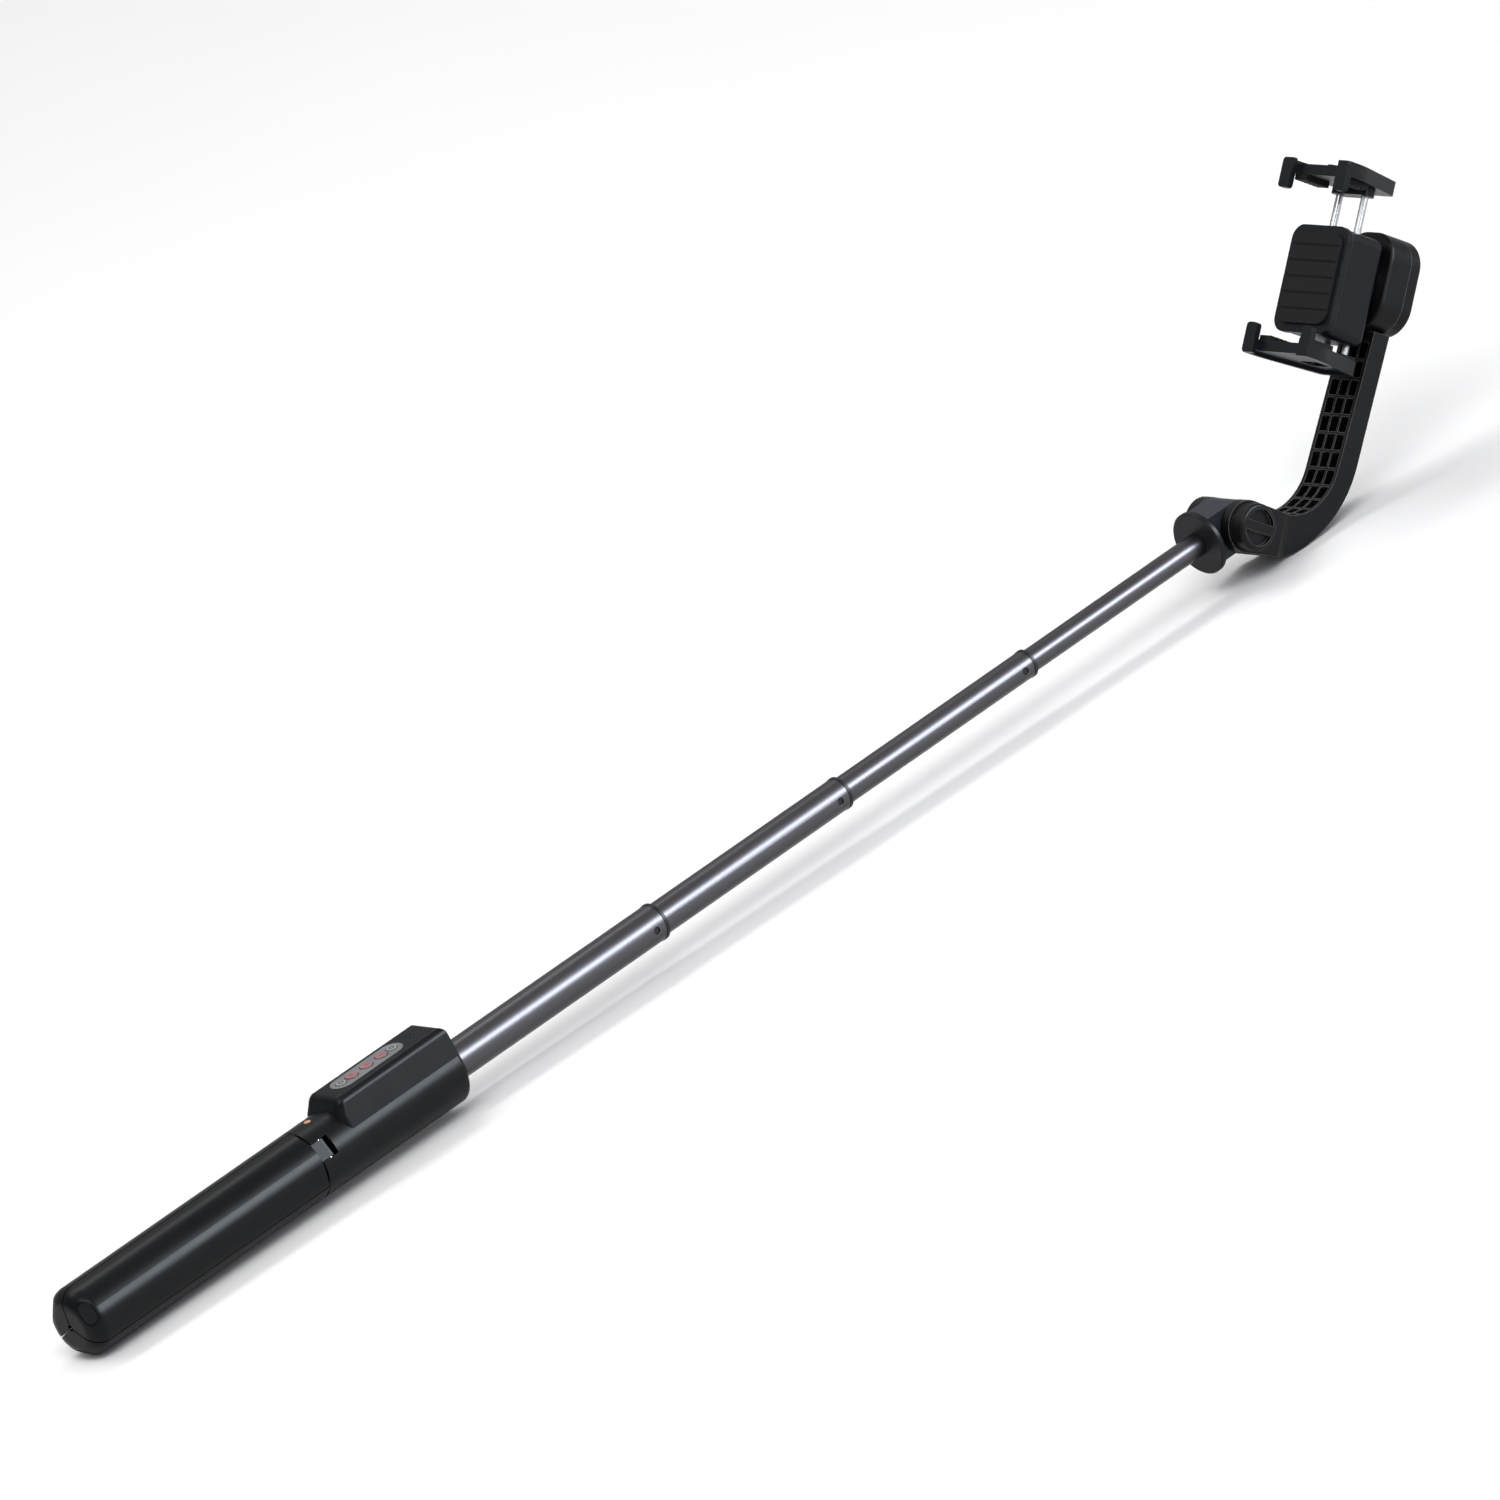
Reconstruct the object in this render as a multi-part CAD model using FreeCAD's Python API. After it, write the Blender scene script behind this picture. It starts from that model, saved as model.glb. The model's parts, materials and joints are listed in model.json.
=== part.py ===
import FreeCAD, Part
import math
import os

# Telescopic selfie stick with tripod legs, control bump and a one-axis gimbal phone clamp.
# It lies on its back: +X runs up the pole, +Z is the button side, -Y is the thumb knob's side.
# The origin is on the pole's axis, where the grip's straight wall starts. All sizes are in mm.

V = FreeCAD.Vector
X_AXIS = V(1, 0, 0)
Y_AXIS = V(0, 1, 0)
Z_AXIS = V(0, 0, 1)

# ---- clearances ----
running_gap = 0.06
fixed_gap = 0.05
press_gap = 0.02
free_gap = 0.4

# ---- handle ----
grip_radius = 16.8
grip_length = 138.0
end_rounding = 8.0
leg_split_gap = 0.35
leg_end_wall = 2.0
leg_end_hole = 1.5
seam_gap = 0.5
housing_length = 90.0
housing_wall = 2.2
housing_rounding = 1.6
housing_root = 14.0
housing_end_wall = 4.0
sleeve_seat = 1.2
sleeve_wall = 0.8
leg_wall = 3.4
bay_count = 5
bay_rib = 2.0
bay_half_width = 6.5
bay_start = 6.0
bay_end_wall = 14.0

# ---- inner sleeve and the collar that the first tube slides through ----
sleeve_start = 6.0
collar_length = 7.0
collar_flange_width = 1.4
collar_flange_sunk = 1.4
collar_flange_proud = 0.6

# ---- control bump ----
bump_start = 19.0
bump_rise = 3.6
bump_steep = 8.95
bump_shoulder = 3.5
bump_proud = 5.95
bump_half_width = 10.8
bump_corner = 4.5
bump_front_rounding = 4.0
panel_length = 42.0
panel_width = 12.0
panel_from_seam = 51.0
key_radius = 3.1
end_button_radius = 2.6
key_pitch = 9.35
end_button_offset = 16.1
button_travel = 0.4
button_proud = 0.5
button_rounding = 0.35
button_flange = 0.5
flange_thickness = 0.6
bezel_proud = 0.15
bezel_thickness = 1.55
bezel_hole_gap = 0.35
switch_half_width = 2.2
switch_body = 1.8
switch_height = 3.0
stem_radius = 1.0
stem_gap = 0.1
opening_inset = 1.5
vent_radius = 0.45
vent_side = 1.4
vent_depth = 1.0
vent_steps = [5.5, 8.0]
room_margin = 2.0
room_half_width = 8.2
room_wall = 1.0
light_radius = 1.6
light_from_seam = 10.5
light_depth = 3.0
light_proud = 0.1
board_below_top = 6.55
board_thickness = 1.0
board_half_length = 21.0
board_half_width = 5.8
battery_half_length = 16.0
battery_half_width = 5.2
battery_gap = 0.5

# ---- rubber feet ----
foot_depth = 3.0
foot_half_width = 5.0
foot_half_height = 3.0
foot_below_round = 0.9
foot_proud = 0.1
foot_turn = -135

# ---- leg hinges ----
hinge_from_seam = 5.5
lug_width = 9.0
lug_inset = 0.6
neck_length = 8.0
slot_clear = 1.0
leg_pin_radius = 1.25
leg_pin_length = 15.0

# ---- pole ----
tube_1_radius = 9.0
tube_wall = 0.7
tube_space = 0.425
visible_lengths = [137.0, 122.0, 125.0, 116.0]
tube_overlap = 22.0
foot_bush_length = 8.0
bush_toe = 1.2
mouth_bush_length = 12.0
mouth_lip = 1.6
mouth_lip_proud = 0.25
peg_hole_radius = 1.9
peg_below_mouth = 7.4

# ---- head ----
disc_radius = 15.6
disc_thickness = 3.5
disc_chamfer = 0.8
spigot_length = 15.0
screw_radius = 2.0
screw_bite = 7.0
screw_head_radius = 3.4
screw_head_length = 3.0
block_rounding = 1.2
hinge_above_disc = 16.15
barrel_radius = 12.0
block_half_width = 9.0
ear_thickness = 5.7
ear_gap = 0.3
bolt_radius = 2.5
bolt_head_across = 4.4
bolt_head_depth = 3.4
bolt_head_sunk = 0.4
bolt_from_knob_end = 3.0
nut_across = 4.6
nut_depth = 3.0
nut_sunk = 0.2
washer_radius = 9.0
washer_thickness = 0.8
washer_gap = 0.1
knob_radius = 11.0
knob_length = 7.7
knob_rounding = 1.8
knob_rim = 2.4
knob_recess = 2.2
knob_bar_half = 2.3
phone_lean = 48.4

# ---- arm, in the phone's own directions from the tilt hinge: (away from the user, up, bend radius) ----
arm_outer_bends = [(36.0, -6.5, 40.0), (61.5, 24.0, 58.0)]
arm_inner_bends = [(50.6, 30.0, 30.0), (38.0, 13.0, 26.0)]
arm_outer_top = 64.5
arm_inner_top = 54.8
arm_root_low = -10.0
arm_root_high = 10.8
cell_end_wall = 5.0
cell_start_wall = 8.0
ear_proud = 0.2
bridge_gap = 4.0
cheek_length = 12.0
cheek_low = -8.0
cheek_high = 11.2
cheek_taper = 8.0
spine_bends = [(42.0, 8.0), (54.0, 28.0)]
spine_start = 2.0
spine_end = 59.0
tongue_length = 8.0
tongue_half_width = 6.5
tongue_inset = 1.0
arm_half_width = 11.0
arm_floor = 2.6
arm_wall = 2.0
rib_thickness = 1.3
rib_pitch = 8.7
roll_height = 129.0
case_front = 50.0
case_split = 63.0
case_back = 70.0
case_half_width = 17.0
case_half_height = 23.0
case_wall = 2.0
case_corner = 14.0
case_front_rounding = 1.5
case_back_rounding = 2.0
boss_wall = 1.5
boss_length = 9.5
post_radius = 2.4
post_side = 9.5
post_inset = 6.5
case_screw_radius = 0.9
case_screw_length = 6.0
screw_cap_radius = 1.7
screw_cap_sunk = 0.4
screw_cap_depth = 1.2
cross_half_length = 1.1
cross_half_width = 0.25
cross_depth = 0.5
port_length = 7.0
port_from_split = 1.4
port_thickness = 3.2
port_half_width = 4.5
port_wall = 0.5
port_back_wall = 1.5
port_sunk = 0.3
board_from_split = 0.3
gimbal_board_half_width = 7.0
gimbal_board_inset = 10.0
gimbal_battery_half_width = 12.0
gimbal_battery_length = 19.0
power_radius = 3.0
power_below_top = 11.0
power_proud = 0.5
power_depth = 2.2
power_flange_radius = 3.9
power_flange = 1.2
power_hole_radius = 3.4
shaft_radius = 3.0
bearing_radius = 6.5
bearing_width = 3.6
bearing_pitch = 4.8
bearing_inset = 0.8
shaft_flange_radius = 9.0
shaft_flange_gap = 0.7
shaft_bite = 8.0
rotor_radius = 13.6
rotor_wall = 1.4
rotor_back = 1.2
rotor_gap = 0.8
rotor_from_split = 2.2
core_radius = 11.6
core_slots = 12
core_slot_half = 0.8
core_slot_depth = 9.2
phone_width = 74.0
phone_front = 9.2
phone_thickness = 8.0
jaw_plate = 5.0
jaw_pad = 2.6
jaw_back = 48.5
jaw_half_width = 22.0
jaw_rear_half_width = 11.0
jaw_shoulder = 10.0
jaw_side_bend = 32.0
rim_width = 2.4
rim_height = 1.8
jaw_front_corner = 2.0
jaw_back_corner = 3.0
jaw_gap_setback = 1.5
jaw_window_front = 28.0
jaw_window_from_back = 11.0
jaw_window_half = 6.0
jaw_post_length = 9.0
jaw_post_height = 7.0
upper_post_half_length = 4.0
post_corner = 3.0
upper_post_half_width = 12.0
upper_post_drop = 4.0
ridge_half_width = 3.5
ridge_height = 1.4
ridge_front_gap = 6.0
ridge_back_gap = 2.0
ridge_corner = 3.0
finger_width = 6.6
finger_corner = 1.8
strip_inner = 9.5
strip_outer = 17.0
strip_grooves = 5
strip_pitch = 2.8
finger_thickness = 3.2
finger_height = 12.5
base_back = 46.8
base_above_phone_low = 4.0
base_below_phone_high = 19.0
base_corner = 5.0
base_rounding = 2.5
base_plate = 4.0
base_plate_corner = 7.0
base_plate_rounding = 1.2
base_half_width = 14.0
base_plate_half_width = 19.0
guide_rod_radius = 1.75
guide_rod_depth = 33.0
guide_rod_side = 8.5
jaw_rod_radius = 1.5
jaw_rod_depth = 43.5
jaw_rod_side = 6.5
jaw_rod_bite = 13.0
rod_cover = 1.5
spring_room_radius = 3.3
spring_room_low = 18.0
spring_room_high = 8.0
spring_end_gap = 0.5
coil_radius = 2.65
wire_radius = 0.3
coil_pitch = 1.6
coil_start = 0.7
spring_sleeve = 0.2
pad_thickness = 1.8
pad_half_width = 15.9
pad_inset = 4.1
pad_sunk = 1.0
pad_corner = 4.9
pad_grooves = 5
pad_groove_margin = 1.4
pad_groove_pitch = 7.6
pad_groove_width = 1.4
pad_groove_depth = 0.6
strip_inset = 1.8
strip_from_rods = 7.0
strip_groove_width = 0.9
strip_groove_depth = 0.5

# ---- derived ----
foot_reach = end_rounding - foot_below_round
bump_height = grip_radius + bump_proud
board_height = bump_height - board_below_top
case_bottom = roll_height - case_half_height
case_top = roll_height + case_half_height
tube_step = tube_wall + tube_space
tube_radii = [tube_1_radius - i * tube_step for i in range(4)]
sleeve_inner = tube_1_radius + free_gap
sleeve_outer = sleeve_inner + sleeve_wall
leg_inner = sleeve_outer + free_gap
housing_end = grip_length + housing_length
collar_flange_radius = sleeve_outer + collar_flange_width
mouths = []
for index in range(4):
    mouths.append(housing_end + sum(visible_lengths[:index + 1]))
disc_base = mouths[3]
disc_top = disc_base + disc_thickness
hinge_x = disc_top + hinge_above_disc
leg_hinge_x = grip_length + hinge_from_seam
lug_radius = (grip_radius - lug_inset - leg_inner) / 2
leg_hinge_r = leg_inner + lug_radius
panel_x = grip_length + panel_from_seam
fork_inner = block_half_width + ear_gap
fork_outer = fork_inner + ear_thickness
phone_back = phone_front + phone_thickness
phone_low = roll_height - phone_width / 2
phone_high = roll_height + phone_width / 2
base_front = phone_back + pad_thickness
base_bottom = phone_low + base_above_phone_low
base_top = phone_high - base_below_phone_high
spring_low = base_bottom + spring_room_low
spring_high = base_top - spring_room_high
guide_rod_low = spring_low - 2.5
jaw_rod_high = base_bottom + jaw_rod_bite
strip_start = phone_front + strip_inset
strip_end = guide_rod_depth - strip_from_rods
jaw_front = phone_front - finger_thickness
lower_plate_top = phone_low - jaw_pad
lower_plate_bottom = lower_plate_top - jaw_plate
upper_plate_bottom = phone_high + jaw_pad
upper_plate_top = upper_plate_bottom + jaw_plate

nodes = {}


# ---- building blocks ----
def cylinder(radius, start, direction, length):
    return Part.makeCylinder(radius, length, start, direction)


def rod_x(radius, x0, x1):
    return cylinder(radius, V(x0, 0, 0), X_AXIS, x1 - x0)


def ring_x(outer, inner, x0, x1):
    return rod_x(outer, x0, x1).cut(rod_x(inner, x0 - 1, x1 + 1))


def box(x0, x1, y0, y1, z0, z1):
    return Part.makeBox(x1 - x0, y1 - y0, z1 - z0, V(x0, y0, z0))


def fused(shapes):
    return shapes[0].multiFuse(shapes[1:]).removeSplitter()


def corner_points(previous, corner, following, radius):
    """Start, middle and end of the arc that rounds one corner of an outline."""
    to_previous = (previous - corner).normalize()
    to_following = (following - corner).normalize()
    half = to_previous.getAngle(to_following) / 2
    back = radius / math.tan(half)
    bisector = (to_previous + to_following).normalize()
    centre = corner + bisector * (radius / math.sin(half))
    return corner + to_previous * back, centre - bisector * radius, corner + to_following * back


def rounded_face(points):
    """A flat face from corners, each with its own rounding radius: [(point, radius), ...]."""
    edges = []
    starts = []
    ends = []
    for i, (corner, radius) in enumerate(points):
        if radius == 0:
            starts.append(corner)
            ends.append(corner)
            continue
        previous = V(points[i - 1][0])
        following = V(points[(i + 1) % len(points)][0])
        start, middle, end = corner_points(previous, V(corner), following, radius)
        edges.append(Part.Arc(start, middle, end).toShape())
        starts.append(start)
        ends.append(end)
    for i in range(len(points)):
        start = ends[i]
        end = starts[(i + 1) % len(points)]
        if (end - start).Length > 1e-6:
            edges.append(Part.LineSegment(start, end).toShape())
    return Part.Face(Part.Wire(Part.__sortEdges__(edges)))


def prism_xz(outline, y0, y1):
    """Solid from an outline of (x, z, radius) corners, between two y planes."""
    face = rounded_face([(V(x, y0, z), radius) for x, z, radius in outline])
    return face.extrude(V(0, y1 - y0, 0))


def prism_yz(outline, x0, x1):
    """Solid from an outline of (y, z, radius) corners, between two x planes."""
    face = rounded_face([(V(x0, y, z), radius) for y, z, radius in outline])
    return face.extrude(V(x1 - x0, 0, 0))


def prism_xy(outline, z0, z1):
    """Solid from an outline of (x, y, radius) corners, between two z planes."""
    face = rounded_face([(V(x, y, z0), radius) for x, y, radius in outline])
    return face.extrude(V(0, 0, z1 - z0))


def rectangle(a0, a1, b0, b1, radius):
    return [(a0, b0, radius), (a1, b0, radius), (a1, b1, radius), (a0, b1, radius)]


def turned(shape, angle):
    """A copy turned about the pole's axis."""
    result = shape.copy()
    result.rotate(V(0, 0, 0), X_AXIS, angle)
    return result


def to_head(shape):
    """Places a shape drawn as (away from the user, sideways, up the phone) at the tilt hinge."""
    result = shape.copy()
    result.rotate(V(0, 0, 0), Y_AXIS, 90 - phone_lean)
    result.translate(V(hinge_x, 0, 0))
    return result


def soften(shape, radius, wanted):
    """Rounds the edges that the test picks."""
    edges = [edge for edge in shape.Edges if wanted(edge)]
    return shape.makeFillet(radius, edges)


# ---- tripod legs ----
leg_angles = {"right": 60, "left": -60, "rear": 180}


def foot_block(gap):
    """Oval rubber foot across the bevel of the leg's rounded end."""
    inner = foot_reach - foot_depth
    oval = rectangle(-foot_half_width - gap, foot_half_width + gap, -foot_half_height - gap,
                     foot_half_height + gap, foot_half_height - 0.1)
    block = prism_yz(oval, inner - gap, foot_reach + 3 * gap)
    block.rotate(V(0, 0, 0), Y_AXIS, foot_turn)
    block.translate(V(0, 0, grip_radius - end_rounding))
    return block


def leg_shell():
    """A third of the hollow grip, closed and rounded at its lower end."""
    profile = [(-end_rounding, leg_end_hole, 0), (-end_rounding, grip_radius, end_rounding - 0.01),
               (grip_length - seam_gap, grip_radius, 0), (grip_length - seam_gap, leg_inner, 0),
               (leg_end_wall, leg_inner, 0), (leg_end_wall, leg_end_hole, 0)]
    face = rounded_face([(V(x, 0, z), radius) for x, z, radius in profile])
    shell = face.revolve(V(0, 0, 0), X_AXIS, 360)
    reach = 3 * grip_radius
    length = grip_length + 2 * end_rounding
    wedge_side = V(0, math.sin(math.radians(60)) * reach, math.cos(math.radians(60)) * reach)
    other_side = V(0, -wedge_side.y, wedge_side.z)
    start = V(-2 * end_rounding, 0, leg_split_gap / math.sin(math.radians(60)))
    wedge = Part.Face(Part.makePolygon([start, start + wedge_side, start + other_side, start]))
    return shell.common(wedge.extrude(V(length + 2 * end_rounding, 0, 0)))


def make_leg():
    """One leg, drawn on the +Z side: shell, lightening bays, hinge lug and foot bevel."""
    leg = leg_shell()
    reach = 2 * grip_radius
    swing_clear = math.hypot(hinge_from_seam, grip_radius - leg_hinge_r + free_gap)
    leg = leg.cut(cylinder(swing_clear, V(leg_hinge_x, -reach, leg_hinge_r), Y_AXIS, 2 * reach))
    bay_length = (grip_length - bay_end_wall - bay_start) / bay_count
    for i in range(bay_count):
        x0 = bay_start + i * bay_length
        leg = leg.cut(box(x0, x0 + bay_length - bay_rib, -bay_half_width, bay_half_width,
                          leg_inner - 5, grip_radius - leg_wall))
    lug = cylinder(lug_radius, V(leg_hinge_x, -lug_width / 2, leg_hinge_r), Y_AXIS, lug_width)
    neck = box(grip_length - neck_length, leg_hinge_x, -lug_width / 2, lug_width / 2,
               leg_hinge_r - lug_radius, leg_hinge_r + lug_radius)
    leg = fused([leg, lug, neck])
    hole = cylinder(leg_pin_radius + running_gap, V(leg_hinge_x, -reach, leg_hinge_r), Y_AXIS, 2 * reach)
    bevel = box(foot_reach - foot_proud, reach, -reach, reach, -reach, reach)
    bevel.rotate(V(0, 0, 0), Y_AXIS, foot_turn)
    bevel.translate(V(0, 0, grip_radius - end_rounding))
    return leg.cut(hole).cut(bevel).cut(foot_block(fixed_gap))


leg_shape = make_leg()
foot_shape = foot_block(0)
pin_shape = cylinder(leg_pin_radius, V(leg_hinge_x, -leg_pin_length / 2, leg_hinge_r), Y_AXIS, leg_pin_length)
for name, angle in leg_angles.items():
    nodes["leg_" + name] = turned(leg_shape, angle)
    nodes["foot_" + name] = turned(foot_shape, angle)
nodes["leg_hinge_pins"] = Part.makeCompound([turned(pin_shape, angle) for angle in leg_angles.values()])


# ---- handle housing and controls ----
bump_outline = [(-bump_half_width, bump_height, bump_corner), (-grip_radius, 0, 0), (0, 0, 0),
                (grip_radius, 0, 0), (bump_half_width, bump_height, bump_corner)]
bezel_top = bump_height + bezel_proud
bezel_bottom = bezel_top - bezel_thickness
vent_places = [panel_x + panel_length / 2 + step for step in vent_steps]
board_top = board_height + board_thickness
button_base = board_top + switch_height
button_top = bezel_top + button_proud
buttons = {
    "end_button_low": (panel_x - end_button_offset, end_button_radius),
    "key_low": (panel_x - key_pitch, key_radius),
    "key_middle": (panel_x, key_radius),
    "key_high": (panel_x + key_pitch, key_radius),
    "end_button_high": (panel_x + end_button_offset, end_button_radius),
}


def pill(grow, z0, z1):
    """The control panel's long round-ended shape, grown by the given width."""
    half_length = (panel_length + grow) / 2
    half_width = (panel_width + grow) / 2
    x0 = panel_x - half_length
    x1 = panel_x + half_length
    return prism_xy(rectangle(x0, x1, -half_width, half_width, half_width - 0.01), z0, z1)


def make_housing():
    x_bump = grip_length + bump_start
    barrel = rod_x(grip_radius, grip_length, housing_end)
    barrel = soften(barrel, housing_rounding, lambda edge: edge.BoundBox.XMin > housing_end - 0.01)
    side_view = [(x_bump, 0, 0), (x_bump, bump_height - bump_steep, 0),
                 (x_bump + bump_rise, bump_height, bump_shoulder), (housing_end, bump_height, bump_shoulder),
                 (housing_end, 0, 0)]
    bump = prism_yz(bump_outline, x_bump, housing_end)
    bump = bump.common(prism_xz(side_view, -grip_radius - 1, grip_radius + 1))
    bump = soften(bump, bump_front_rounding, lambda edge: edge.BoundBox.XMax < x_bump + bump_rise
                  and edge.BoundBox.YLength < bump_half_width and edge.BoundBox.ZLength > bump_shoulder)
    outer = fused([barrel, bump])
    hollow_radius = grip_radius - housing_wall
    hollow = ring_x(hollow_radius, sleeve_outer + sleeve_seat, grip_length + housing_root,
                    housing_end - housing_end_wall)
    room_half_length = panel_length / 2 + room_margin
    room = box(panel_x - room_half_length, panel_x + room_half_length, -room_half_width, room_half_width,
               sleeve_outer + sleeve_seat / 2, bezel_bottom - room_wall)
    shape = outer.cut(hollow).cut(room).cut(rod_x(sleeve_outer + fixed_gap, grip_length - 1, housing_end + 1))
    shape = shape.cut(pill(2 * fixed_gap, bezel_bottom, bump_height + 1))
    shape = shape.cut(pill(-2 * opening_inset, board_height, bump_height + 1))
    slot_end = leg_hinge_x + lug_radius + slot_clear
    slot_half_width = lug_width / 2 + free_gap
    slot = box(grip_length - 1, slot_end, -slot_half_width, slot_half_width, leg_inner / 2, 2 * grip_radius)
    pin_half = leg_pin_length / 2 + press_gap
    pin_start = V(leg_hinge_x, -pin_half, leg_hinge_r)
    pin_hole = cylinder(leg_pin_radius + press_gap, pin_start, Y_AXIS, 2 * pin_half)
    for angle in leg_angles.values():
        shape = shape.cut(turned(slot, angle)).cut(turned(pin_hole, angle))
    for x in vent_places:
        for side in (-1, 1):
            start = V(x, side * vent_side, bump_height - vent_depth)
            shape = shape.cut(cylinder(vent_radius, start, Z_AXIS, 2 * vent_depth))
    flange_seat = rod_x(collar_flange_radius + 0.1, housing_end - collar_flange_sunk - 0.1, housing_end + 1)
    return shape.cut(light_shape(fixed_gap)).cut(flange_seat)


def light_shape(gap):
    foot = V(grip_length + light_from_seam, 0, grip_radius - light_depth)
    return cylinder(light_radius + gap, foot, Z_AXIS, light_depth + light_proud)


def make_button(x, radius):
    cap = cylinder(radius, V(x, 0, button_base), Z_AXIS, button_top - button_base)
    cap = soften(cap, button_rounding, lambda edge: edge.BoundBox.ZMin > button_top - 0.01)
    flange = cylinder(radius + button_flange, V(x, 0, button_base), Z_AXIS, flange_thickness)
    return fused([cap, flange])


nodes["handle_housing"] = make_housing()
nodes["status_light"] = light_shape(0)
bezel = pill(0, bezel_bottom, bezel_top)
switches = []
for name, (x, radius) in buttons.items():
    nodes[name] = make_button(x, radius)
    bezel = bezel.cut(cylinder(radius + bezel_hole_gap, V(x, 0, 0), Z_AXIS, 2 * bump_height))
    body = box(x - switch_half_width, x + switch_half_width, -switch_half_width, switch_half_width,
               board_top, board_top + switch_body)
    stem = cylinder(stem_radius, V(x, 0, board_top), Z_AXIS, switch_height - button_travel - stem_gap)
    switches.append(fused([body, stem]))
nodes["control_bezel"] = bezel
nodes["button_switches"] = Part.makeCompound(switches)
nodes["button_board"] = box(panel_x - board_half_length, panel_x + board_half_length,
                            -board_half_width, board_half_width, board_height, board_top)
nodes["handle_battery"] = box(panel_x - battery_half_length, panel_x + battery_half_length,
                              -battery_half_width, battery_half_width, sleeve_outer + 2 * battery_gap,
                              board_height - battery_gap)

collar_start = housing_end - collar_length
nodes["pole_sleeve"] = ring_x(sleeve_outer, sleeve_inner, sleeve_start, collar_start - fixed_gap)
collar_flange = ring_x(collar_flange_radius, tube_1_radius + running_gap, housing_end - collar_flange_sunk,
                       housing_end + collar_flange_proud)
nodes["pole_collar"] = fused([ring_x(sleeve_outer, tube_1_radius + running_gap, collar_start, housing_end),
                              collar_flange])


# ---- telescopic pole ----
def make_tube(index):
    """Tube, its sliding foot bush and, apart from the last tube, its mouth bush."""
    outer = tube_radii[index]
    inner = outer - tube_wall
    start = (mouths[index - 1] if index else housing_end) - tube_overlap
    last = index == 3
    end = mouths[index] if last else mouths[index] - mouth_lip
    tube = ring_x(outer, inner, start, end)
    channel = sleeve_inner if index == 0 else tube_radii[index - 1] - tube_wall
    bush = ring_x(channel - running_gap, outer, start, start + foot_bush_length)
    toe = ring_x(channel - running_gap, inner, start - bush_toe, start)
    nodes["foot_bush_%d" % (index + 1)] = fused([bush, toe])
    if not last:
        guide = tube_radii[index + 1] + running_gap
        peg_x = mouths[index] - peg_below_mouth
        hole = cylinder(peg_hole_radius, V(peg_x, 0, 0), V(0, -1, 0), outer + 2)
        tube = tube.cut(hole)
        core = ring_x(inner, guide, mouths[index] - mouth_bush_length, end)
        lip = ring_x(outer + mouth_lip_proud, guide, end, mouths[index])
        peg = cylinder(peg_hole_radius - fixed_gap, V(peg_x, -inner + 0.2, 0), V(0, -1, 0), tube_wall - 0.4)
        nodes["mouth_bush_%d" % (index + 1)] = fused([core, lip, peg])
    nodes["tube_%d" % (index + 1)] = tube


for index in range(4):
    make_tube(index)


# ---- head on the last tube ----
def make_head():
    disc = rod_x(disc_radius, disc_base, disc_top)
    rims = [edge for edge in disc.Edges if edge.BoundBox.YLength > 2 * disc_radius - 1]
    disc = disc.makeChamfer(disc_chamfer, rims)
    spigot_start = disc_base - spigot_length
    screw_end = disc_top + screw_bite
    spigot = rod_x(tube_radii[3] - tube_wall - fixed_gap, spigot_start, disc_base)
    screw = fused([rod_x(screw_radius, spigot_start, screw_end),
                   rod_x(screw_head_radius, spigot_start - screw_head_length, spigot_start)])
    hole = rod_x(screw_radius + fixed_gap, spigot_start - 1, screw_end + 4 * fixed_gap)
    nodes["head_disc"] = fused([disc, spigot]).cut(hole)
    nodes["head_screw"] = screw
    barrel = cylinder(barrel_radius, V(hinge_x, -block_half_width, 0), Y_AXIS, 2 * block_half_width)
    stem = box(disc_top, hinge_x, -block_half_width, block_half_width, -barrel_radius + 1, barrel_radius)
    block = fused([barrel, stem])
    corners = [edge for edge in block.Edges if edge.BoundBox.XMax < hinge_x
               and edge.BoundBox.YLength < 0.1 and edge.BoundBox.ZLength < 0.1]
    block = block.makeFillet(block_rounding, corners)
    pivot = cylinder(bolt_radius + running_gap, V(hinge_x, -fork_outer, 0), Y_AXIS, 2 * fork_outer)
    nodes["hinge_block"] = block.cut(hole).cut(pivot)


make_head()


# ---- tilt hinge: bolt, washers and knob ----
knob_start = -fork_outer - ear_gap
knob_end = knob_start - knob_length


def along_y(radius, y0, y1):
    return cylinder(radius, V(0, y0, 0), Y_AXIS, y1 - y0)


def hexagon(radius, y0, y1):
    """Six-sided bar along Y, measured to its corners."""
    corners = []
    for i in range(7):
        angle = math.radians(60 * i)
        corners.append(V(radius * math.cos(angle), y0, radius * math.sin(angle)))
    return Part.Face(Part.makePolygon(corners)).extrude(V(0, y1 - y0, 0))


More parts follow.
